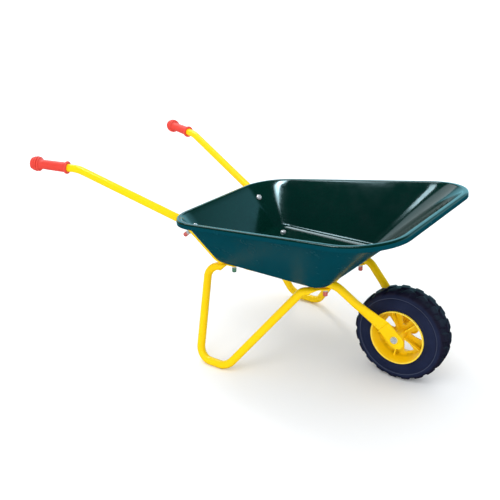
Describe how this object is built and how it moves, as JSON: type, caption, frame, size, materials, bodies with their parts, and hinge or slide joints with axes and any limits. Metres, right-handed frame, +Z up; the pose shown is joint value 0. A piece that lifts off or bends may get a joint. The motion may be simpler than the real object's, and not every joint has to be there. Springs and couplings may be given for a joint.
{
  "type": "wheelbarrow",
  "caption": "Child's metal wheelbarrow: pressed steel tray on a bent tube frame with splayed leg loops, plastic grips and a free-rolling wheel.",
  "frame": {"origin": "on the ground, under the middle of the barrow's overall box", "axes": "+X forward from the grips to the wheel, +Y to the left, +Z up"},
  "size_m": [0.7843, 0.4338, 0.3441],
  "materials": {
    "green_paint": "gloss",
    "yellow_paint": "gloss",
    "red_plastic": "satin",
    "green_plastic": "satin",
    "navy_plastic": "satin",
    "yellow_plastic": "gloss",
    "zinc_steel": "bright zinc"
  },
  "bodies": {
    "frame": {"tray": "green_paint", "frame_tube_left": "yellow_paint", "frame_tube_right": "yellow_paint", "leg_left": "yellow_paint", "leg_right": "yellow_paint", "grip_left": "red_plastic", "grip_right": "red_plastic", "axle_bolt": "zinc_steel", "axle_nut": "zinc_steel", "rear_wall_bolts": "zinc_steel", "rear_wall_nuts": "zinc_steel", "rear_wall_caps": "red_plastic", "rear_floor_bolts": "zinc_steel", "rear_floor_nuts": "zinc_steel", "rear_floor_caps": "green_plastic", "front_floor_bolts": "zinc_steel", "front_floor_nuts": "zinc_steel", "front_floor_caps": "red_plastic"},
    "wheel": {"tyre": "navy_plastic", "wheel_hub": "yellow_plastic"}
  },
  "joints": [
    {"name": "wheel_spin", "type": "hinge", "parent": "frame", "child": "wheel", "pos_m": [0.3071, 0, 0.085], "axis": [0, 1, 0], "continuous": true}
  ]
}
